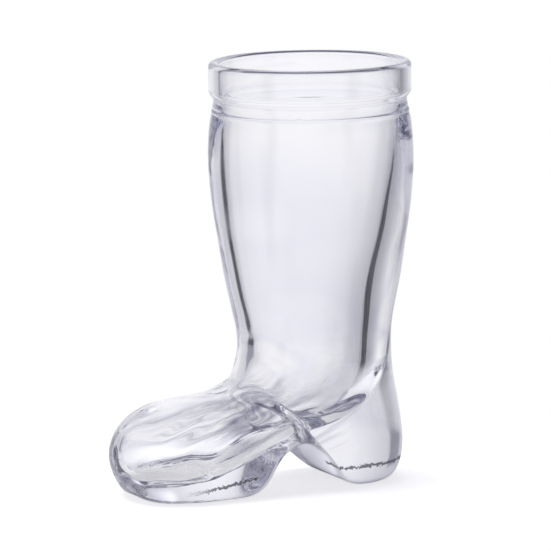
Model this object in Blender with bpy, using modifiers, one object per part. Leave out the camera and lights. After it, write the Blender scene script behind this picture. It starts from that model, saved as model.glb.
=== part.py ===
"""Boot-shaped drinking glass: one thick clear moulding, divided into six rigid zones.

Metres, +Z up. The toe points to -X, the heel to +X, and the glass is alike on both sides of y = 0.
The base stands on z = 0 and the origin is under the middle of the overall box.
"""
import math

import bmesh
import bpy
import numpy as np

MM = 0.001

# Driving dimensions.
HEIGHT = 94.6 * MM           # base to lip
TOE_REACH = 48.6 * MM        # toe tip ahead of the leg's axis
HEEL_REACH = 20.3 * MM       # back of heel behind the leg's axis
RIM_RADIUS = 22.5 * MM       # outside of the rim band
BORE_RADIUS = 20.0 * MM      # inside of the mouth
BAND_HEIGHT = 7.7 * MM       # rim band, lip to lower edge
NECK_RADIUS = 21.5 * MM      # groove under the rim band
CALF_RADIUS = 22.9 * MM      # widest part of the leg
SHOULDER_RADIUS = 21.9 * MM  # leg at the mould line under the neck
ANKLE_RADIUS = 18.4 * MM     # leg where it meets the foot
ANKLE_HEIGHT = 40.0 * MM     # height of that meeting
PARTING_HEIGHT = 83.4 * MM   # mould line between the ring mould and the leg
ARCH_HEIGHT = 11.0 * MM      # opening under the waist
SOLE_THICKNESS = 2.4 * MM    # forefoot pad, cut level
HEEL_HEIGHT = 9.5 * MM       # heel block, cut level
WAIST_X = -7.4 * MM          # crown of the arch, from the leg's axis
INSTEP_X = -20.0 * MM        # where the vamp meets the ankle, from the leg's axis

SEAM_GAP = 0.3 * MM          # clearance between zones
SEGMENTS = 48                # points round each section
STEPS = 2                    # slices between two stations
LEG_X = (TOE_REACH - CALF_RADIUS) / 2
TIP = -TOE_REACH / MM

# Slices of the outside, from toe tip round the foot to the ankle, in mm from the leg's axis.
# Each row: upper x, z; lower x, z; half width; half width of the level strip at the lower end;
# fullness of the side (2 is an ellipse, more is squarer).
TIP_Z = 9.8
ARCH_Z = ARCH_HEIGHT / MM
ARCH_X = WAIST_X / MM
OUTER_FOOT = [
    (TIP, TIP_Z, TIP, TIP_Z, 0.0, 0.0, 2.0),
    (TIP + 1.2, 14.0, TIP + 1.2, 4.2, 6.8, 0.0, 2.0),
    (TIP + 4.4, 17.8, TIP + 4.2, 0.7, 11.1, 4.4, 2.1),
    (TIP + 9.0, 20.2, TIP + 9.0, 0.0, 13.9, 8.6, 2.2),
    (TIP + 15.6, 21.4, TIP + 17.4, 0.0, 15.4, 10.4, 2.3),
    (-26.8, 21.7, -21.0, 0.0, 15.5, 9.8, 2.5),
    (-24.2, 21.9, -17.4, 1.6, 15.5, 9.0, 2.6),
    (-21.8, 22.3, -13.2, ARCH_Z * 0.74, 15.5, 8.4, 2.7),
    (-20.0, 23.0, ARCH_X, ARCH_Z, 15.6, 8.2, 2.7),
    (-18.8, 24.0, -2.4, ARCH_Z * 0.74, 15.8, 8.3, 2.6),
    (-18.0, 25.4, 2.2, 1.5, 16.0, 8.6, 2.4),
    (-17.6, 26.8, 5.0, 0.0, 16.1, 8.9, 2.3),
    (-17.4, 28.2, 9.6, 0.0, 16.3, 8.6, 2.25),
    (-17.3, 29.4, 14.6, 0.2, 16.5, 5.8, 2.2),
    (-17.2, 30.6, 18.8, 3.0, 16.7, 2.0, 2.1),
    (-17.1, 31.8, HEEL_REACH / MM, 8.0, 16.8, 0.0, 2.05),
    (-17.1, 33.0, 19.2, 17.0, 17.0, 0.0, 2.0),
    (-17.2, 34.8, 17.6, 26.0, 17.1, 0.0, 2.0),
    (-17.7, 37.0, 17.4, 34.0, 17.5, 0.0, 2.0),
    (-18.3, ANKLE_HEIGHT / MM, 18.3, ANKLE_HEIGHT / MM, ANKLE_RADIUS / MM, 0.0, 2.0),
]
# The leg above the ankle is turned: height and radius.
OUTER_LEG = [
    (47.2, 19.8),
    (55.2, 21.0),
    (63.2, 22.2),
    (73.2, CALF_RADIUS / MM),
    (80.0, 22.5),
    (PARTING_HEIGHT / MM, SHOULDER_RADIUS / MM),
    (PARTING_HEIGHT / MM + 1.0, SHOULDER_RADIUS / MM - 0.3),
]
# Slices of the hollow, from its toe to the ankle, rows as above.
INNER_FOOT = [
    (TIP + 2.6, 10.2, TIP + 2.6, 10.2, 0.0, 0.0, 2.0),
    (TIP + 3.8, 13.8, TIP + 3.8, 6.2, 5.6, 0.0, 2.0),
    (TIP + 7.2, 16.6, TIP + 7.0, 4.4, 9.6, 2.4, 2.0),
    (TIP + 16.0, 18.2, TIP + 17.0, 4.4, 12.0, 5.0, 2.1),
    (-24.6, 18.7, -24.4, 5.6, 12.2, 5.6, 2.2),
    (-19.8, 19.6, -16.4, 9.2, 12.2, 5.8, 2.3),
    (-16.4, 21.8, -8.4, 13.0, 12.1, 5.8, 2.4),
    (-14.6, 25.4, 0.6, 13.2, 12.1, 5.4, 2.4),
    (-13.8, 28.6, 7.4, 15.8, 12.1, 3.6, 2.2),
    (-13.5, 31.0, 10.4, 20.4, 12.2, 1.4, 2.05),
    (-13.4, 33.2, 11.2, 27.6, 12.3, 0.0, 2.0),
    (-14.2, 36.8, 11.4, 35.2, 12.8, 0.0, 2.0),
    (-15.0, ANKLE_HEIGHT / MM, 11.8, ANKLE_HEIGHT / MM, 13.4, 0.0, 2.0),
]
# The hollow of the leg: height, radius and how far its middle leans to the toe.
INNER_LEG = [
    (51.2, 15.9, 1.4),
    (62.2, 17.7, 0.9),
    (77.2, 19.8, 0.1),
    (PARTING_HEIGHT / MM + 2.0, BORE_RADIUS / MM, 0.0),
]

GLASS_COLOUR = (0.86, 0.86, 0.90, 1.0)
GLASS_ROUGHNESS = 0.03


def clear_scene():
    for obj in list(bpy.data.objects):
        bpy.data.objects.remove(obj, do_unlink=True)
    for col in list(bpy.data.collections):
        bpy.data.collections.remove(col)


def new_collection(name):
    col = bpy.data.collections.new(name)
    bpy.context.scene.collection.children.link(col)
    return col


def glass_material(name, tint):
    """Clear glass, a little greyer where the wall is thicker."""
    mat = bpy.data.materials.new(name)
    mat.use_nodes = True
    bsdf = mat.node_tree.nodes["Principled BSDF"]
    bsdf.inputs["Base Color"].default_value = tuple(c * tint for c in GLASS_COLOUR[:3]) + (1.0,)
    bsdf.inputs["Roughness"].default_value = GLASS_ROUGHNESS
    bsdf.inputs["Metallic"].default_value = 0.0
    bsdf.inputs["IOR"].default_value = 1.52
    bsdf.inputs["Transmission Weight"].default_value = 1.0
    return mat


def eased(values):
    """Values at the stations and at STEPS slices between each two, without overshoot."""
    values = np.asarray(values, float)
    rise = np.diff(values)
    slope = np.zeros(len(values))
    for k in range(1, len(values) - 1):
        if rise[k - 1] * rise[k] > 0.0:
            slope[k] = 2.0 * rise[k - 1] * rise[k] / (rise[k - 1] + rise[k])
    slope[0] = rise[0]
    slope[-1] = rise[-1]
    out = []
    for k in range(len(values) - 1):
        for t in np.arange(STEPS) / STEPS:
            a = values[k] * (1 + 2 * t) * (1 - t) ** 2 + slope[k] * t * (1 - t) ** 2
            b = values[k + 1] * t * t * (3 - 2 * t) + slope[k + 1] * t * t * (t - 1)
            out.append(a + b)
    out.append(values[-1])
    return np.array(out)


def slices(rows):
    """Rows of stations turned into closely spaced slices. The tip row is mirrored, so it's round."""
    tip, first = rows[0], rows[1]
    before = (first[0], 2 * tip[1] - first[1], first[2], 2 * tip[3] - first[3], -first[4], *first[5:])
    columns = [eased(col) for col in zip(before, *rows)]
    return list(zip(*columns))[STEPS:]


def section(row):
    """Closed outline of one slice: elliptical above, with a level strip at its lower end."""
    ux, uz, lx, lz, half, flat, full = row
    upper = np.array([ux, uz])
    lower = np.array([lx, lz])
    middle = (upper + lower) / 2
    turn = np.linspace(0.0, math.pi / 2, 60)
    cosine = np.abs(np.cos(turn))
    sine = np.sin(turn)
    above = 2.0 / (1.2 + 0.4 * full)
    below = 2.0 / full
    pts = [(*(middle + (upper - middle) * c), half * s) for c, s in zip(cosine ** above, sine ** above)]
    pts += [(*(middle + (lower - middle) * s), flat + (half - flat) * c)
            for c, s in zip(cosine[1:] ** below, sine[1:] ** below)]
    pts = np.array(pts + [(lx, lz, 0.0)])
    run = np.concatenate([[0.0], np.cumsum(np.linalg.norm(np.diff(pts, axis=0), axis=1))])
    even = np.linspace(0.0, run[-1], SEGMENTS // 2 + 1)
    side = np.stack([np.interp(even, run, pts[:, k]) for k in range(3)], axis=1)
    near = [(x * MM + LEG_X, -y * MM, z * MM) for x, z, y in side]
    far = [(x * MM + LEG_X, y * MM, z * MM) for x, z, y in side[1:-1]]
    return near + far[::-1]


def leg_row(height, radius, lean=0.0):
    return (-radius - lean, height, radius - lean, height, radius, 0.0, 2.0)


def loft(name, rows, col):
    """Closed body through the slices: a point at the toe and a level cap at the top."""
    rings = [section(row) for row in slices(rows)[1:]]
    bm = bmesh.new()
    tip = bm.verts.new((rows[0][0] * MM + LEG_X, 0.0, rows[0][1] * MM))
    loops = [[bm.verts.new(p) for p in ring] for ring in rings]
    for k in range(SEGMENTS):
        n = (k + 1) % SEGMENTS
        bm.faces.new((tip, loops[0][n], loops[0][k]))
        for a, b in zip(loops[:-1], loops[1:]):
            bm.faces.new((a[k], a[n], b[n], b[k]))
    bm.faces.new(loops[-1])
    bmesh.ops.recalc_face_normals(bm, faces=bm.faces)
    mesh = bpy.data.meshes.new(name)
    bm.to_mesh(mesh)
    bm.free()
    obj = bpy.data.objects.new(name, mesh)
    col.objects.link(obj)
    return obj


def box(name, low, high, col):
    """Block cutter between two corners."""
    bm = bmesh.new()
    bmesh.ops.create_cube(bm, size=1.0)
    for v in bm.verts:
        v.co = [low[k] + (high[k] - low[k]) * (v.co[k] + 0.5) for k in range(3)]
    mesh = bpy.data.meshes.new(name)
    bm.to_mesh(mesh)
    bm.free()
    obj = bpy.data.objects.new(name, mesh)
    col.objects.link(obj)
    return obj


def hide_cutter(obj):
    obj.display_type = 'WIRE'
    obj.hide_render = True


def boolean(obj, other, operation):
    mod = obj.modifiers.new(other.name, 'BOOLEAN')
    mod.object = other
    mod.operation = operation
    mod.solver = 'EXACT'


def shade(obj, angle=math.radians(35)):
    """Smooth shading with the cut edges kept crisp."""
    for poly in obj.data.polygons:
        poly.use_smooth = True
    obj.data.set_sharp_from_angle(angle=angle)


def zone(name, blank, keep, cuts, mat, col):
    """A copy of the blank held inside one block and cleared by the others."""
    obj = bpy.data.objects.new(name, blank.data.copy())
    obj.data.name = name
    obj.data.materials.append(mat)
    col.objects.link(obj)
    boolean(obj, keep, 'INTERSECT')
    for cut in cuts:
        boolean(obj, cut, 'DIFFERENCE')
    shade(obj)
    return obj


def rim_band(col, mat):
    """Turned lip, band and neck groove above the parting line."""
    low = PARTING_HEIGHT + SEAM_GAP / 2
    band = HEIGHT - BAND_HEIGHT
    lip = (RIM_RADIUS - BORE_RADIUS) / 2
    mid = (RIM_RADIUS + BORE_RADIUS) / 2
    outer = []
    for k in range(7):
        a = math.pi / 2 * k / 6
        outer.append((mid + lip * math.sin(a), HEIGHT - lip * (1 - math.cos(a)) * 0.8))
    outer += [(RIM_RADIUS, band + 0.9 * MM), (RIM_RADIUS - 0.3 * MM, band + 0.3 * MM)]
    outer += [(NECK_RADIUS + 0.2 * MM, band - 0.2 * MM), (NECK_RADIUS, band - 1.0 * MM)]
    outer += [(NECK_RADIUS + 0.2 * MM, band - 2.0 * MM), (SHOULDER_RADIUS - 0.02 * MM, low)]
    inner = [(BORE_RADIUS, low)]
    for k in range(5):
        a = math.pi / 2 * (1 - k / 5)
        inner.append((mid - lip * math.sin(a), HEIGHT - lip * (1 - math.cos(a)) * 0.8))
    bm = bmesh.new()
    verts = [bm.verts.new((r, 0.0, z)) for r, z in outer + inner]
    for a, b in zip(verts, verts[1:] + verts[:1]):
        bm.edges.new((a, b))
    mesh = bpy.data.meshes.new("rim_band")
    bm.to_mesh(mesh)
    bm.free()
    mesh.materials.append(mat)
    obj = bpy.data.objects.new("rim_band", mesh)
    obj.location = (LEG_X, 0.0, 0.0)
    col.objects.link(obj)
    mod = obj.modifiers.new("turn", 'SCREW')
    mod.axis = 'Z'
    mod.angle = math.tau
    mod.steps = SEGMENTS
    mod.render_steps = SEGMENTS
    mod.use_merge_vertices = True
    mod.merge_threshold = 0.00001
    mod.use_smooth_shade = True
    return obj


def build():
    clear_scene()
    col = new_collection("boot_glass")
    cutters = new_collection("cutters")

    leg = [leg_row(z, r) for z, r in OUTER_LEG]
    hollow = INNER_FOOT + [leg_row(z, r, lean) for z, r, lean in INNER_LEG]
    blank = loft("blank", OUTER_FOOT + leg, cutters)
    core = loft("core", hollow, cutters)

    wide = 40.0 * MM
    reach = HEIGHT
    half_gap = SEAM_GAP / 2
    waist = LEG_X + WAIST_X
    instep = LEG_X + INSTEP_X
    ankle = ANKLE_HEIGHT - half_gap
    leg_block = box("leg_block", (-reach, -wide, ANKLE_HEIGHT + half_gap),
                    (reach, wide, PARTING_HEIGHT - half_gap), cutters)
    counter_block = box("counter_block", (instep + half_gap, -wide, -wide),
                        (reach, wide, ankle), cutters)
    vamp_block = box("vamp_block", (-reach, -wide, -wide), (instep - half_gap, wide, ankle), cutters)
    sole_block = box("sole_block", (-reach, -wide, -wide), (waist, wide, SOLE_THICKNESS), cutters)
    sole_clear = box("sole_clear", (-reach, -wide, -wide),
                     (waist, wide, SOLE_THICKNESS + SEAM_GAP), cutters)
    heel_block = box("heel_block", (waist, -wide, -wide), (reach, wide, HEEL_HEIGHT), cutters)
    heel_clear = box("heel_clear", (waist, -wide, -wide),
                     (reach, wide, HEEL_HEIGHT + SEAM_GAP), cutters)

    rim_band(col, glass_material("glass_rim", 1.0))
    zone("shaft", blank, leg_block, [core], glass_material("glass_shaft", 0.98), col)
    zone("counter", blank, counter_block, [sole_clear, heel_clear, core],
         glass_material("glass_counter", 0.96), col)
    zone("vamp", blank, vamp_block, [sole_clear, core], glass_material("glass_vamp", 0.96), col)
    zone("sole", blank, sole_block, [], glass_material("glass_sole", 0.95), col)
    zone("heel", blank, heel_block, [], glass_material("glass_heel", 0.95), col)
    for obj in cutters.objects:
        hide_cutter(obj)


build()
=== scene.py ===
"""Boot-shaped drinking glass: one continuous thick glass body in place of the CAD zones.

Metres, +Z up, toe towards -X. Sizes and places named below are in mm unless a comment says otherwise.
"""
import math

import bmesh
import bpy
import numpy as np
from mathutils import Matrix, Vector, noise

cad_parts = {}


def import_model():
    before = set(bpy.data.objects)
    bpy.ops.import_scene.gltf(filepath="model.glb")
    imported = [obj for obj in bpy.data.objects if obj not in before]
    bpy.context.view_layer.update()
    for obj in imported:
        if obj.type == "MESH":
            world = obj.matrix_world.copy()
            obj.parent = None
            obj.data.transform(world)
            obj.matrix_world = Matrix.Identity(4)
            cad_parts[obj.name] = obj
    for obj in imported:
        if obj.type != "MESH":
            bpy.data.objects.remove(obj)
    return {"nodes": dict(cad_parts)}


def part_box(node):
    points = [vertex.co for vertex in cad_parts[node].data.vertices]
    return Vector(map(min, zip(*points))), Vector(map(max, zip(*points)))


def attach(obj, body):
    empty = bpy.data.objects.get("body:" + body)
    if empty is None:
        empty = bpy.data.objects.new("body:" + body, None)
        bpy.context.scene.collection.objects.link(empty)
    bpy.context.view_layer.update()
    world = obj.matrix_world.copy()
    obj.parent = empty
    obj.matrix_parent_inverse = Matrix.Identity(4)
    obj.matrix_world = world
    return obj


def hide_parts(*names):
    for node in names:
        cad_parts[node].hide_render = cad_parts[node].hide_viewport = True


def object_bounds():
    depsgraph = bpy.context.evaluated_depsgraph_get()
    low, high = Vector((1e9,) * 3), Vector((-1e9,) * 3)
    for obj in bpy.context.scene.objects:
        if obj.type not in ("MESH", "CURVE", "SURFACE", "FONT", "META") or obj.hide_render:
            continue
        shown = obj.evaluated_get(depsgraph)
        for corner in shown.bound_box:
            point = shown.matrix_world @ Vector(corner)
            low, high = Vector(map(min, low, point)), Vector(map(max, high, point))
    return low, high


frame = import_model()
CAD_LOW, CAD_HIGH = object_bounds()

MM = 0.001

# Sizes taken from the frame. LEG_X is in metres.
RIM_LOW, RIM_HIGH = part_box("rim_band")
LEG_X = (RIM_LOW.x + RIM_HIGH.x) / 2
HEIGHT = RIM_HIGH.z / MM
RIM_RADIUS = (RIM_HIGH.y - RIM_LOW.y) / 2 / MM
TIP = (CAD_LOW.x - LEG_X) / MM

# Other sizes of the glass.
BORE_RADIUS = 20.0
BAND_HEIGHT = 7.7
NECK_RADIUS = 21.5
CALF_RADIUS = 22.9
SHOULDER_RADIUS = 21.9
ANKLE_RADIUS = 18.4
ANKLE_HEIGHT = 40.0
PARTING_HEIGHT = 83.4
ARCH_HEIGHT = 11.0
ARCH_X = -7.4
HEEL_REACH = 20.3
TIP_HEIGHT = 9.8

# Fineness of the mesh: points round a slice, points that trace a quarter of it, distance of slices.
SEGMENTS = 144
QUARTER_POINTS = 120
SPACING = 0.9
FEWEST_SLICES = 3
# How far slices are averaged, and the most of the way to either end that this may reach.
OUTER_FAIRING = 2.0
INNER_FAIRING = 5.0
FAIRING_SHARE = 0.3

# Slices of the outside, from the toe's tip round the foot to the ankle, from the leg's axis.
# Each row: upper x, z; lower x, z; half width; half width of the level strip at the lower end;
# fullness of the side (2 is an ellipse, more is squarer).
OUTER_FOOT = [
    (TIP, TIP_HEIGHT, TIP, TIP_HEIGHT, 0.0, 0.0, 2.0),
    (TIP + 1.2, 14.0, TIP + 1.2, 4.2, 6.8, 0.0, 2.0),
    (TIP + 4.4, 17.8, TIP + 4.2, 0.7, 11.1, 4.4, 2.1),
    (TIP + 9.0, 20.2, TIP + 9.0, 0.0, 13.9, 8.6, 2.2),
    (TIP + 15.6, 21.4, TIP + 17.4, 0.0, 15.4, 10.4, 2.3),
    (-26.8, 21.7, -21.0, 0.0, 15.5, 9.8, 2.5),
    (-24.2, 21.9, -17.4, 1.6, 15.5, 9.0, 2.6),
    (-21.8, 22.3, -13.2, ARCH_HEIGHT * 0.74, 15.5, 8.4, 2.7),
    (-20.0, 23.0, ARCH_X, ARCH_HEIGHT, 15.6, 8.2, 2.7),
    (-18.8, 24.0, -2.4, ARCH_HEIGHT * 0.74, 15.8, 8.3, 2.6),
    (-18.0, 25.4, 2.2, 1.5, 16.0, 8.6, 2.4),
    (-17.6, 26.8, 5.0, 0.0, 16.1, 8.9, 2.3),
    (-17.4, 28.2, 9.6, 0.0, 16.3, 8.6, 2.25),
    (-17.3, 29.4, 14.6, 0.2, 16.5, 5.8, 2.2),
    (-17.2, 30.6, 18.8, 3.0, 16.7, 2.0, 2.1),
    (-17.1, 31.8, HEEL_REACH, 8.0, 16.8, 0.0, 2.05),
    (-17.1, 33.0, 19.2, 17.0, 17.0, 0.0, 2.0),
    (-17.2, 34.8, 17.6, 26.0, 17.1, 0.0, 2.0),
    (-17.7, 37.0, 17.4, 34.0, 17.5, 0.0, 2.0),
    (-18.3, ANKLE_HEIGHT, 18.3, ANKLE_HEIGHT, ANKLE_RADIUS, 0.0, 2.0),
]
# The leg above the ankle is turned: height and radius.
OUTER_LEG = [
    (47.2, 19.8),
    (55.2, 21.0),
    (63.2, 22.2),
    (73.2, CALF_RADIUS),
    (80.0, 22.5),
    (PARTING_HEIGHT, SHOULDER_RADIUS),
]
# Slices of the hollow, from its toe to the ankle, rows as for the outside.
INNER_FOOT = [
    (TIP + 2.6, 10.2, TIP + 2.6, 10.2, 0.0, 0.0, 2.0),
    (TIP + 3.8, 13.8, TIP + 3.8, 6.2, 5.6, 0.0, 2.0),
    (TIP + 7.2, 16.6, TIP + 7.0, 4.4, 9.6, 1.6, 2.0),
    (TIP + 16.0, 18.2, TIP + 17.0, 4.4, 12.0, 3.0, 2.0),
    (-24.6, 18.7, -24.4, 5.6, 12.2, 3.0, 1.9),
    (-19.8, 19.6, -16.4, 9.2, 12.2, 3.0, 1.85),
    (-16.4, 21.8, -8.4, 13.0, 12.1, 3.0, 1.85),
    (-14.6, 25.4, 0.6, 13.2, 12.1, 3.0, 1.9),
    (-13.8, 28.6, 7.4, 15.8, 12.1, 2.0, 2.0),
    (-13.5, 31.0, 10.4, 20.4, 12.2, 1.4, 2.05),
    (-13.4, 33.2, 11.2, 27.6, 12.3, 0.0, 2.0),
    (-14.2, 36.8, 11.4, 35.2, 12.8, 0.0, 2.0),
    (-15.0, ANKLE_HEIGHT, 11.8, ANKLE_HEIGHT, 13.4, 0.0, 2.0),
]
# The hollow of the leg: height, radius and how far its middle leans to the toe.
INNER_LEG = [
    (51.2, 15.9, 1.4),
    (62.2, 17.7, 0.9),
    (77.2, 19.8, 0.1),
    (PARTING_HEIGHT + 2.0, BORE_RADIUS, 0.0),
    (HEIGHT - 2.0, BORE_RADIUS, 0.0),
]

# Parting ridge, neck groove and lower edge of the rim band: radius and height.
PARTING_RIDGE = 0.10
BAND_BOTTOM = HEIGHT - BAND_HEIGHT
NECK_PROFILE = [
    (SHOULDER_RADIUS + 0.05, PARTING_HEIGHT + 0.12),
    (SHOULDER_RADIUS + PARTING_RIDGE, PARTING_HEIGHT + 0.24),
    (SHOULDER_RADIUS + PARTING_RIDGE, PARTING_HEIGHT + 0.34),
    (SHOULDER_RADIUS + 0.02, PARTING_HEIGHT + 0.46),
    (SHOULDER_RADIUS - 0.10, PARTING_HEIGHT + 0.62),
    (SHOULDER_RADIUS - 0.16, PARTING_HEIGHT + 0.9),
    (NECK_RADIUS + 0.13, BAND_BOTTOM - 1.9),
    (NECK_RADIUS + 0.03, BAND_BOTTOM - 1.4),
    (NECK_RADIUS, BAND_BOTTOM - 1.0),
    (NECK_RADIUS + 0.04, BAND_BOTTOM - 0.65),
    (NECK_RADIUS + 0.17, BAND_BOTTOM - 0.3),
    (NECK_RADIUS + 0.40, BAND_BOTTOM + 0.05),
    (NECK_RADIUS + 0.64, BAND_BOTTOM + 0.4),
    (RIM_RADIUS - 0.16, BAND_BOTTOM + 0.75),
    (RIM_RADIUS - 0.05, BAND_BOTTOM + 1.1),
    (RIM_RADIUS, BAND_BOTTOM + 1.5),
]
# Straight side of the band: first row above its bottom, last row below the lip, count of rows.
SIDE_START = 2.1
SIDE_END = 0.4
SIDE_ROWS = 8
# Rounded lip: height as a share of its half width, and steps over it.
LIP_ROUNDNESS = 0.8
LIP_STEPS = 16

# Short waver of the parting ridge near the front, on the photographed side.
WAVE_TURN = math.radians(25.0)
WAVE_LENGTH = 3.4
WAVE_PLACE = -2.2
WAVE_REACH = 3.0
WAVE_RISE = 0.28
RIDGE_MIDDLE = 0.3
RIDGE_REACH = 0.6

# Streaks pressed into the hollow of the foot, along the shank.
SHANK_SLOPE = math.radians(28.0)
STREAK_LENGTH = 20.0
STREAK_WIDTH = 2.6
STREAK_DEPTH = 0.38
STREAK_TOP = 19.0
STREAK_START = 6.0
STREAK_FADE = 8.0
# Rings on the floor of the hollow's toe.
RINGS_X = -33.0
RING_SPACING = 2.4
RING_STRETCH = 1.5
RINGS_REACH = 6.0
RING_DEPTH = 0.24
RINGS_TOP = 9.0
RINGS_FADE = 3.0

# Glass: the absorption density is per metre.
GLASS_IOR = 1.52
CLEAR = (0.985, 0.985, 0.992, 1.0)
SOAK_COLOUR = (0.50, 0.50, 0.66, 1.0)
SOAK_DENSITY = 5.0

# Rough seam where the mould's bottom plate met its sides: level round the heel, falling to the toe. Its
# near-black colour is painted shade; its roughness and relief are the seam's own.
SEAM_SHADE_COLOUR = (0.05, 0.05, 0.06, 1.0)
SEAM_ROUGHNESS = 0.3
SEAM_RELIEF = 0.15
SEAM_HEIGHT = 5.1
SEAM_TOE_HEIGHT = 2.4
SEAM_TOE_X = -36.4
SEAM_BALL_X = -20.3
SEAM_HEEL_X = -5.0
# Where it fades in and out, by x, and where it stays on the photographed side, by y.
SEAM_TOE_FADE = (SEAM_TOE_X - 2.0, SEAM_TOE_X + 6.0)
SEAM_BALL_FADE = (SEAM_BALL_X - 1.0, SEAM_BALL_X)
SEAM_HEEL_FADE = (SEAM_HEEL_X, SEAM_HEEL_X + 2.0)
SEAM_SIDE_FADE = (-7.0, -6.0)
# Its ragged width: noise features per metre and detail, spread, amount taken off, soft edge.
SEAM_GRAIN = 1500.0
SEAM_DETAIL = 3.0
SEAM_SPREAD = 2.0
SEAM_LOSS = 0.60
SEAM_EDGE = 0.12

# Painted shade: grey streaks painted into the glass of the instep, standing in for the dark refraction
# streaks there: size along x, y and z, share of the noise that shows.
SHADE_STREAK_COLOUR = (0.36, 0.36, 0.43, 1.0)
SHADE_STREAK_SLOPE = math.radians(22.0)
SHADE_STREAK_SIZE = (18.0, 2.6, 1.6)
SHADE_STREAK_DETAIL = 3.0
SHADE_STREAK_RANGE = (0.44, 0.66)
# Where they fade in and out, by x from the leg's axis and by height.
SHADE_STREAK_TOE_FADE = (-36.0, -24.0)
SHADE_STREAK_HEEL_FADE = (-8.0, 3.0)
SHADE_STREAK_LOW_FADE = (8.0, 13.0)
SHADE_STREAK_HIGH_FADE = (17.0, 27.0)

# Camera, as the photograph was taken. Distance, clipping and target are in metres.
IMAGE_SIDE = 551
CAMERA_TURN = math.radians(25.0)
CAMERA_RISE = math.radians(9.0)
CAMERA_ROLL = math.radians(0.8)
CAMERA_DISTANCE = 1.030
CAMERA_CLIP = (0.01, 50.0)
CAMERA_TARGET = Vector((LEG_X - 7.475 * MM, 3.377 * MM, 46.477 * MM))
METRES_PER_PIXEL = 0.2228 * MM
SENSOR = 36.0

WHITE = (1.0, 1.0, 1.0, 1.0)

# Pale floor that fades out round the glass, in metres. The lift whitens it where it is seen.
FLOOR_RADIUS = 0.105
FLOOR_FADE = (0.04, FLOOR_RADIUS * 0.95)
FLOOR_DROP = 0.05 * MM
FLOOR_SEGMENTS = 96
FLOOR_COLOUR = (0.90, 0.90, 0.90, 1.0)
FLOOR_ROUGHNESS = 0.7
FLOOR_LIFT = 0.62
# Painted pool of light on the floor under the glass, seen through the glass, standing in for the light
# the glass gathers there: reach and shares.
POOL_OF_LIGHT_FADE = (22 * MM, 44 * MM)
POOL_OF_LIGHT_SHARES = (0.9, 0.2)

# Lamp above the glass: place and side in metres.
SOFT_BOX_PLACE = Vector((-0.15, 0.10, 0.75))
SOFT_BOX_SIDE = 0.5
SOFT_BOX_WATTS = 3.0

# Room round the glass. Level by direction from straight behind the glass, in degrees to the right.
SIDE_STOPS = [
    (-180, 0.80), (-150, 0.78), (-120, 0.76), (-90, 0.70), (-66, 0.64), (-42, 0.64), (-28, 0.74),
    (-20, 0.84), (-10, 0.96), (0, 1.0), (8, 0.93), (16, 0.76), (24, 0.59), (32, 0.46), (44, 0.34),
    (60, 0.34), (78, 0.46), (96, 0.60), (120, 0.74), (150, 0.78), (180, 0.80),
]
# Level and blue by height above the horizon, in degrees.
RISE_STOPS = [
    (-90, 0.60, 0.66), (-46, 0.64, 0.70), (-32, 0.82, 0.88), (-24, 0.94, 0.99), (-19, 1.0, 1.02),
    (-15, 1.0, 1.02), (-12, 0.94, 0.99), (-9.5, 0.90, 0.97), (-6, 1.0, 1.02), (4, 1.0, 1.02),
    (24, 0.95, 1.0), (34, 0.74, 0.80), (46, 0.44, 0.52), (60, 0.36, 0.44), (90, 0.40, 0.48),
]
# Cards round the glass, one bright and the others dark, in degrees: from and to by direction,
# from and to by height, soft edge, and the level that the room is multiplied by.
CARDS = [
    (16.0, 54.0, 14.0, 38.0, 4.0, 1.75),
    (-26.0, 26.0, -64.0, -31.0, 5.0, 0.16),
    (48.0, 62.0, -40.0, 4.0, 1.6, 0.04),
    (-62.0, -40.0, -36.0, -9.0, 4.0, 0.04),
    (-62.0, -42.0, -9.0, 14.0, 3.0, 0.42),
    (85.0, 165.0, 10.0, 58.0, 6.0, 0.20),
    (-186.0, -150.0, 36.0, 62.0, 6.0, 0.25),
    (120.0, 134.0, -25.0, 0.0, 4.0, 0.15),
    (-134.0, -120.0, -25.0, 0.0, 4.0, 0.15),
]
# Blue is the level raised to these powers, so darker parts of the room are a little bluer.
SIDE_BLUE = 0.9
CARD_BLUE = 0.85

LIGHT_BOUNCES = 64


def eased(values, counts):
    """Values at the stations and at the slices between each two, without overshoot."""
    values = np.asarray(values, float)
    rise = np.diff(values)
    slope = np.zeros(len(values))
    for k in range(1, len(values) - 1):
        if rise[k - 1] * rise[k] > 0.0:
            slope[k] = 2.0 * rise[k - 1] * rise[k] / (rise[k - 1] + rise[k])
    slope[0] = rise[0]
    slope[-1] = rise[-1]
    out = []
    for k, count in enumerate(counts):
        for t in np.arange(count) / count:
            a = values[k] * (1 + 2 * t) * (1 - t) ** 2 + slope[k] * t * (1 - t) ** 2
            b = values[k + 1] * t * t * (3 - 2 * t) + slope[k + 1] * t * t * (t - 1)
            out.append(a + b)
    out.append(values[-1])
    return np.array(out)


def step_between(a, b):
    """The longer way of a slice's upper and lower end to those of the next slice."""
    return max(math.dist(a[0:2], b[0:2]), math.dist(a[2:4], b[2:4]))


def faired(rows, fairing):
    """The slices averaged with their neighbours, less near both ends, so the curves run on evenly."""
    steps = [step_between(a, b) for a, b in zip(rows[:-1], rows[1:])]
    place = np.concatenate([[0.0], np.cumsum(steps)])
    share = np.gradient(place)
    out = [rows[0]]
    for k in range(1, len(rows) - 1):
        reach = min(fairing, FAIRING_SHARE * place[k], FAIRING_SHARE * (place[-1] - place[k]))
        weight = share * np.exp(-0.5 * ((place - place[k]) / reach) ** 2)
        out.append(weight @ rows / weight.sum())
    return [*out, rows[-1]]


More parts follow.
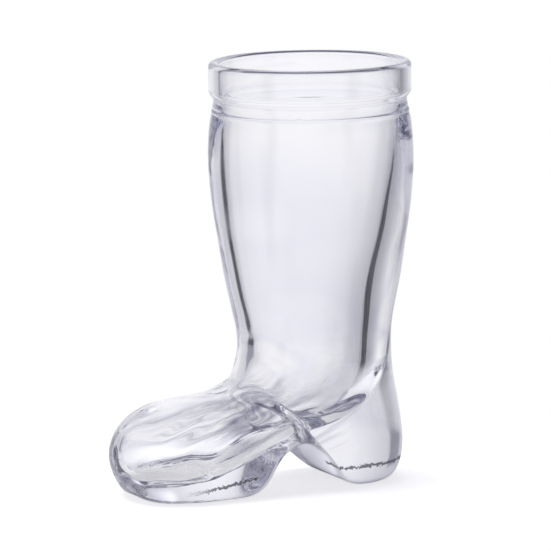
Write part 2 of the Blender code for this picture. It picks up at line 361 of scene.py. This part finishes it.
def slices(rows, fairing):
    """Stations turned into closely spaced slices. The tip row is mirrored, so the tip is round."""
    tip, first = rows[0], rows[1]
    before = (first[0], 2 * tip[1] - first[1], first[2], 2 * tip[3] - first[3], -first[4], *first[5:])
    rows = [before, *rows]
    counts = []
    for a, b in zip(rows[:-1], rows[1:]):
        step = max(step_between(a, b), abs(b[4] - a[4]))
        counts.append(max(FEWEST_SLICES, math.ceil(step / SPACING)))
    columns = [eased(col, counts) for col in zip(*rows)]
    return faired(np.array(columns).T[counts[0]:], fairing)


def section(row):
    """Closed outline of one slice: elliptical above, with a level strip at its lower end."""
    ux, uz, lx, lz, half, flat, full = row
    upper = np.array([ux, uz])
    lower = np.array([lx, lz])
    middle = (upper + lower) / 2
    turn = np.linspace(0.0, math.pi / 2, QUARTER_POINTS)
    cosine = np.abs(np.cos(turn))
    sine = np.sin(turn)
    above = 2.0 / (1.2 + 0.4 * full)
    below = 2.0 / full
    pts = [(*(middle + (upper - middle) * c), half * s) for c, s in zip(cosine ** above, sine ** above)]
    pts += [(*(middle + (lower - middle) * s), flat + (half - flat) * c)
            for c, s in zip(cosine[1:] ** below, sine[1:] ** below)]
    pts = np.array(pts + [(lx, lz, 0.0)])
    run = np.concatenate([[0.0], np.cumsum(np.linalg.norm(np.diff(pts, axis=0), axis=1))])
    even = np.linspace(0.0, run[-1], SEGMENTS // 2 + 1)
    side = np.stack([np.interp(even, run, pts[:, k]) for k in range(3)], axis=1)
    near = np.stack([side[:, 0], -side[:, 2], side[:, 1]], axis=1)
    far = np.stack([side[1:-1, 0], side[1:-1, 2], side[1:-1, 1]], axis=1)
    return np.concatenate([near, far[::-1]])


def leg_row(height, radius, lean=0.0):
    """A level circle round the leg's axis, written as a slice."""
    return (-radius - lean, height, radius - lean, height, radius, 0.0, 2.0)


def rim_rows():
    """Parting ridge, neck groove, rim band and rounded lip: circles from the leg up and over."""
    lip = (RIM_RADIUS - BORE_RADIUS) / 2
    mid = (RIM_RADIUS + BORE_RADIUS) / 2
    top = HEIGHT - LIP_ROUNDNESS * lip
    profile = list(NECK_PROFILE)
    for z in np.linspace(BAND_BOTTOM + SIDE_START, top - SIDE_END, SIDE_ROWS):
        profile.append((RIM_RADIUS, z))
    for k in range(LIP_STEPS + 1):
        a = math.pi * k / LIP_STEPS
        profile.append((mid + lip * math.cos(a), top + LIP_ROUNDNESS * lip * math.sin(a)))
    return [leg_row(z, r) for r, z in profile]


def parting_rise(ring):
    """How far the parting ridge strays up and down near the front."""
    across = ring[:, 0] * math.cos(WAVE_TURN) - ring[:, 1] * math.sin(WAVE_TURN)
    wave = np.sin(2 * math.pi * across / WAVE_LENGTH) * np.exp(-((across - WAVE_PLACE) / WAVE_REACH) ** 2)
    near = np.exp(-((ring[:, 2] - PARTING_HEIGHT - RIDGE_MIDDLE) / RIDGE_REACH) ** 2)
    front = ring[:, 1] < 0
    return WAVE_RISE * wave * near * front


def share_of(value, span):
    """A length as a share of a span, held between 0 and 1."""
    return min(1.0, max(0.0, value / span))


def hollow_waves(point):
    """Waves in the hollow of the foot: streaks up the shank and rings on the toe's floor."""
    x, y, z = point
    along = x * math.cos(SHANK_SLOPE) + z * math.sin(SHANK_SLOPE)
    across = z * math.cos(SHANK_SLOPE) - x * math.sin(SHANK_SLOPE)
    streaks = noise.noise(Vector((along / STREAK_LENGTH, y / STREAK_WIDTH, across / STREAK_WIDTH)))
    foot = share_of(STREAK_TOP - z, STREAK_FADE) * share_of(x - TIP - STREAK_START, STREAK_FADE)
    reach = math.hypot((x - RINGS_X) / RING_STRETCH, y)
    rings = math.cos(2 * math.pi * reach / RING_SPACING) * math.exp(-(reach / RINGS_REACH) ** 2)
    return STREAK_DEPTH * streaks * foot + RING_DEPTH * rings * share_of(RINGS_TOP - z, RINGS_FADE)


def glass_mesh(name):
    """Closed skin: outside from the toe up, over the lip, and down the hollow to its toe."""
    outer = slices(OUTER_FOOT + [leg_row(z, r) for z, r in OUTER_LEG], OUTER_FAIRING)
    rim = rim_rows()
    inner = slices(INNER_FOOT + [leg_row(z, r, lean) for z, r, lean in INNER_LEG], INNER_FAIRING)
    rings = [section(row) for row in outer[1:] + rim + inner[:0:-1]]
    for ring in rings[:len(outer) + len(rim)]:
        ring[:, 2] += parting_rise(ring)
    tips = [(rows[0][0], 0.0, rows[0][1]) for rows in (outer, inner)]
    bm = bmesh.new()
    to_frame = Vector((LEG_X, 0.0, 0.0))
    loops = [[bm.verts.new(Vector(p) * MM + to_frame) for p in ring] for ring in rings]
    first, last = [bm.verts.new(Vector(p) * MM + to_frame) for p in tips]
    for k in range(SEGMENTS):
        n = (k + 1) % SEGMENTS
        bm.faces.new((first, loops[0][n], loops[0][k]))
        bm.faces.new((last, loops[-1][k], loops[-1][n]))
        for a, b in zip(loops[:-1], loops[1:]):
            bm.faces.new((a[k], a[n], b[n], b[k]))
    bmesh.ops.recalc_face_normals(bm, faces=bm.faces)
    bm.normal_update()
    hollow = [v for loop in loops[-(len(inner) - 1):] for v in loop]
    for v, normal in [(v, v.normal.copy()) for v in hollow]:
        v.co += normal * hollow_waves((v.co - to_frame) / MM) * MM
    for face in bm.faces:
        face.smooth = True
    mesh = bpy.data.meshes.new(name)
    bm.to_mesh(mesh)
    bm.free()
    return mesh


def math_node(tree, operation, *values):
    node = tree.nodes.new("ShaderNodeMath")
    node.operation = operation
    for socket, value in zip(node.inputs, values):
        if isinstance(value, (int, float)):
            socket.default_value = value
        else:
            tree.links.new(value, socket)
    return node.outputs[0]


def product(tree, *values):
    """The values multiplied, from left to right."""
    out = values[0]
    for value in values[1:]:
        out = math_node(tree, 'MULTIPLY', out, value)
    return out


def range_node(tree, value, spans, kind='SMOOTHSTEP'):
    """A value moved from one span to another: low and high before, low and high after."""
    node = tree.nodes.new("ShaderNodeMapRange")
    node.interpolation_type = kind
    tree.links.new(value, node.inputs["Value"])
    for name, number in zip(("From Min", "From Max", "To Min", "To Max"), spans):
        node.inputs[name].default_value = number
    return node.outputs["Result"]


def fade_in(tree, value, low, high):
    return range_node(tree, value, (low, high, 0.0, 1.0))


def fade_out(tree, value, low, high):
    return range_node(tree, value, (low, high, 1.0, 0.0))


def noise_node(tree, coords, scale, detail):
    node = tree.nodes.new("ShaderNodeTexNoise")
    tree.links.new(coords, node.inputs["Vector"])
    node.inputs["Scale"].default_value = scale
    node.inputs["Detail"].default_value = detail
    return node.outputs["Fac"]


def mix_node(tree, blend, factor, a, b):
    node = tree.nodes.new("ShaderNodeMix")
    node.data_type = 'RGBA'
    node.blend_type = blend
    for socket, value in ((node.inputs[0], factor), (node.inputs[6], a), (node.inputs[7], b)):
        if isinstance(value, (int, float, tuple)):
            socket.default_value = value
        else:
            tree.links.new(value, socket)
    return node.outputs[2]


def ramp_node(tree, value, stops):
    node = tree.nodes.new("ShaderNodeValToRGB")
    tree.links.new(value, node.inputs["Fac"])
    elements = node.color_ramp.elements
    while len(elements) < len(stops):
        elements.new(0.5)
    for element, (place, colour) in zip(elements, stops):
        element.position = place
        element.color = (*colour, 1.0)
    return node.outputs["Color"]


def dot_node(tree, vector, axis):
    node = tree.nodes.new("ShaderNodeVectorMath")
    node.operation = 'DOT_PRODUCT'
    tree.links.new(vector, node.inputs[0])
    node.inputs[1].default_value = axis
    return node.outputs["Value"]


def from_leg(places):
    """Places from the leg's axis in mm, as x in metres."""
    return [LEG_X + x * MM for x in places]


def seam_and_shade_share(tree, coords, place):
    """Ragged line along the mould seam round the sole and heel, 0 to 1. It makes the seam rough and
    raised, and paints shade on it as a near-black colour.
    """
    x, y, z = (place.outputs[axis] for axis in "XYZ")
    spans = (*from_leg((SEAM_TOE_X, SEAM_BALL_X)), SEAM_TOE_HEIGHT * MM, SEAM_HEIGHT * MM)
    height = range_node(tree, x, spans, 'LINEAR')
    off = math_node(tree, 'ABSOLUTE', math_node(tree, 'SUBTRACT', z, height))
    grain = noise_node(tree, coords, SEAM_GRAIN, SEAM_DETAIL)
    wide = math_node(tree, 'MULTIPLY_ADD', grain, SEAM_SPREAD * MM, -SEAM_LOSS * MM)
    line = fade_in(tree, math_node(tree, 'SUBTRACT', wide, off), 0.0, SEAM_EDGE * MM)
    sole = product(tree, fade_in(tree, x, *from_leg(SEAM_TOE_FADE)),
                   fade_out(tree, x, *from_leg(SEAM_BALL_FADE)))
    heel = fade_in(tree, x, *from_leg(SEAM_HEEL_FADE))
    near = fade_out(tree, y, *(limit * MM for limit in SEAM_SIDE_FADE))
    return product(tree, line, near, math_node(tree, 'ADD', sole, heel))


def shade_streak_share(tree, coords, place):
    """Painted shade: grey streaks drawn through the glass of the instep, along the shank, 0 to 1."""
    turned = tree.nodes.new("ShaderNodeMapping")
    turned.vector_type = 'TEXTURE'
    tree.links.new(coords, turned.inputs["Vector"])
    turned.inputs["Rotation"].default_value = (0.0, -SHADE_STREAK_SLOPE, 0.0)
    turned.inputs["Scale"].default_value = [size * MM for size in SHADE_STREAK_SIZE]
    streaks = fade_in(tree, noise_node(tree, turned.outputs["Vector"], 1.0, SHADE_STREAK_DETAIL), *SHADE_STREAK_RANGE)
    x, z = place.outputs["X"], place.outputs["Z"]
    long = product(tree, fade_in(tree, x, *from_leg(SHADE_STREAK_TOE_FADE)),
                   fade_out(tree, x, *from_leg(SHADE_STREAK_HEEL_FADE)))
    tall = product(tree, fade_in(tree, z, *(limit * MM for limit in SHADE_STREAK_LOW_FADE)),
                   fade_out(tree, z, *(limit * MM for limit in SHADE_STREAK_HIGH_FADE)))
    return product(tree, streaks, product(tree, long, tall))


def glass_material():
    """Clear glass that soaks up a little light, with grey streaks of painted shade in the instep and a
    rough seam painted near-black as shade.
    """
    mat = bpy.data.materials.new("clear_glass")
    mat.use_nodes = True
    tree = mat.node_tree
    bsdf = tree.nodes["Principled BSDF"]
    bsdf.inputs["Transmission Weight"].default_value = 1.0
    bsdf.inputs["IOR"].default_value = GLASS_IOR
    coords = tree.nodes.new("ShaderNodeTexCoord").outputs["Object"]
    place = tree.nodes.new("ShaderNodeSeparateXYZ")
    tree.links.new(coords, place.inputs[0])
    rough = seam_and_shade_share(tree, coords, place)
    # Painted shade: grey streaks mixed into the glass colour of the instep.
    body = mix_node(tree, 'MIX', shade_streak_share(tree, coords, place), CLEAR, SHADE_STREAK_COLOUR)
    # Painted shade: the seam is mixed to near-black; its roughness and bump below are real.
    tree.links.new(mix_node(tree, 'MIX', rough, body, SEAM_SHADE_COLOUR), bsdf.inputs["Base Color"])
    tree.links.new(product(tree, rough, SEAM_ROUGHNESS), bsdf.inputs["Roughness"])
    bump = tree.nodes.new("ShaderNodeBump")
    bump.inputs["Distance"].default_value = SEAM_RELIEF * MM
    tree.links.new(rough, bump.inputs["Height"])
    tree.links.new(bump.outputs["Normal"], bsdf.inputs["Normal"])
    soak = tree.nodes.new("ShaderNodeVolumeAbsorption")
    soak.inputs["Color"].default_value = SOAK_COLOUR
    soak.inputs["Density"].default_value = SOAK_DENSITY
    tree.links.new(soak.outputs["Volume"], tree.nodes["Material Output"].inputs["Volume"])
    return mat


def glass():
    """The glass body, in place of all CAD zones."""
    mesh = glass_mesh("boot_glass")
    mesh.materials.append(glass_material())
    obj = bpy.data.objects.new("boot_glass", mesh)
    bpy.context.scene.collection.objects.link(obj)
    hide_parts(*sorted(frame["nodes"]))
    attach(obj, "root")


def camera():
    data = bpy.data.cameras.new("camera")
    obj = bpy.data.objects.new("camera", data)
    bpy.context.scene.collection.objects.link(obj)
    ahead = Vector((math.sin(CAMERA_TURN) * math.cos(CAMERA_RISE),
                    math.cos(CAMERA_TURN) * math.cos(CAMERA_RISE), -math.sin(CAMERA_RISE)))
    right = ahead.cross(Vector((0.0, 0.0, 1.0))).normalized()
    up = right.cross(ahead)
    turned_right = right * math.cos(CAMERA_ROLL) - up * math.sin(CAMERA_ROLL)
    turned_up = right * math.sin(CAMERA_ROLL) + up * math.cos(CAMERA_ROLL)
    pose = Matrix((turned_right, turned_up, -ahead)).transposed().to_4x4()
    pose.translation = CAMERA_TARGET - ahead * CAMERA_DISTANCE
    obj.matrix_world = pose
    data.sensor_width = SENSOR
    data.lens = SENSOR * CAMERA_DISTANCE / (METRES_PER_PIXEL * IMAGE_SIDE)
    data.clip_start, data.clip_end = CAMERA_CLIP
    bpy.context.scene.camera = obj


def floor_material():
    """Pale matt floor, whitened where the camera sees it and, less, where it is seen through glass; near
    the glass this whitening is a painted pool of light.
    """
    mat = bpy.data.materials.new("pale_floor")
    mat.use_nodes = True
    tree = mat.node_tree
    bsdf = tree.nodes["Principled BSDF"]
    bsdf.inputs["Base Color"].default_value = FLOOR_COLOUR
    bsdf.inputs["Roughness"].default_value = FLOOR_ROUGHNESS
    bsdf.inputs["Specular IOR Level"].default_value = 0.0
    bsdf.inputs["Emission Color"].default_value = WHITE
    coords = tree.nodes.new("ShaderNodeTexCoord")
    reach = tree.nodes.new("ShaderNodeVectorMath")
    reach.operation = 'LENGTH'
    tree.links.new(coords.outputs["Object"], reach.inputs[0])
    distance = reach.outputs["Value"]
    # Painted pool of light: the floor seen through the glass glows more near the glass.
    painted_light_pool = range_node(tree, distance, (*POOL_OF_LIGHT_FADE, *POOL_OF_LIGHT_SHARES))
    path = tree.nodes.new("ShaderNodeLightPath")
    seen = math_node(tree, 'MULTIPLY_ADD', path.outputs["Is Transmission Ray"], painted_light_pool,
                     path.outputs["Is Camera Ray"])
    tree.links.new(product(tree, seen, FLOOR_LIFT), bsdf.inputs["Emission Strength"])
    tree.links.new(fade_out(tree, distance, *FLOOR_FADE), bsdf.inputs["Alpha"])
    return mat


def floor():
    bm = bmesh.new()
    bmesh.ops.create_circle(bm, cap_ends=True, radius=FLOOR_RADIUS, segments=FLOOR_SEGMENTS)
    mesh = bpy.data.meshes.new("floor")
    bm.to_mesh(mesh)
    bm.free()
    mesh.materials.append(floor_material())
    obj = bpy.data.objects.new("floor", mesh)
    obj.location = (0.0, 0.0, -FLOOR_DROP)
    bpy.context.scene.collection.objects.link(obj)


def soft_box():
    data = bpy.data.lights.new("soft_box", 'AREA')
    data.size = SOFT_BOX_SIDE
    data.energy = SOFT_BOX_WATTS
    obj = bpy.data.objects.new("soft_box", data)
    obj.location = SOFT_BOX_PLACE
    obj.rotation_mode = 'QUATERNION'
    obj.rotation_quaternion = (-SOFT_BOX_PLACE).to_track_quat('-Z', 'Y')
    obj.visible_glossy = False
    obj.visible_transmission = False
    bpy.context.scene.collection.objects.link(obj)


def world():
    """The room that lights the glass and is seen through it, white where the camera sees it."""
    studio = bpy.data.worlds.new("studio")
    bpy.context.scene.world = studio
    studio.use_nodes = True
    tree = studio.node_tree
    background = tree.nodes["Background"]
    view = tree.nodes.new("ShaderNodeTexCoord").outputs["Generated"]
    height = dot_node(tree, view, (0.0, 0.0, 1.0))
    turn = math_node(tree, 'ARCTAN2',
                     dot_node(tree, view, (math.cos(CAMERA_TURN), -math.sin(CAMERA_TURN), 0.0)),
                     dot_node(tree, view, (math.sin(CAMERA_TURN), math.cos(CAMERA_TURN), 0.0)))
    share = math_node(tree, 'MULTIPLY_ADD', turn, 0.5 / math.pi, 0.5)
    sides = ramp_node(tree, share, [(d / 360 + 0.5, (v, v, v ** SIDE_BLUE)) for d, v in SIDE_STOPS])
    level = math_node(tree, 'MULTIPLY_ADD', height, 0.5, 0.5)
    rise = ramp_node(tree, level, [(math.sin(math.radians(d)) / 2 + 0.5, (v, v, blue))
                                   for d, v, blue in RISE_STOPS])
    room = mix_node(tree, 'MULTIPLY', 1.0, sides, rise)
    degrees = product(tree, turn, 180 / math.pi)
    lift = product(tree, math_node(tree, 'ARCSINE', height), 180 / math.pi)
    for left, right, bottom, top, soft, kept in CARDS:
        wide = product(tree, fade_in(tree, degrees, left - soft, left + soft),
                       fade_out(tree, degrees, right - soft, right + soft))
        tall = product(tree, fade_in(tree, lift, bottom - soft, bottom + soft),
                       fade_out(tree, lift, top - soft, top + soft))
        colour = (kept, kept, max(kept, kept ** CARD_BLUE), 1.0)
        room = mix_node(tree, 'MULTIPLY', product(tree, wide, tall), room, colour)
    path = tree.nodes.new("ShaderNodeLightPath")
    shown = mix_node(tree, 'MIX', path.outputs["Is Camera Ray"], room, WHITE)
    tree.links.new(shown, background.inputs["Color"])
    background.inputs["Strength"].default_value = 1.0


def main():
    scene = bpy.context.scene
    scene.view_settings.view_transform = 'Standard'
    scene.cycles.max_bounces = LIGHT_BOUNCES
    scene.cycles.transmission_bounces = LIGHT_BOUNCES
    scene.cycles.glossy_bounces = LIGHT_BOUNCES
    glass()
    camera()
    floor()
    soft_box()
    world()
    bpy.context.view_layer.update()


main()
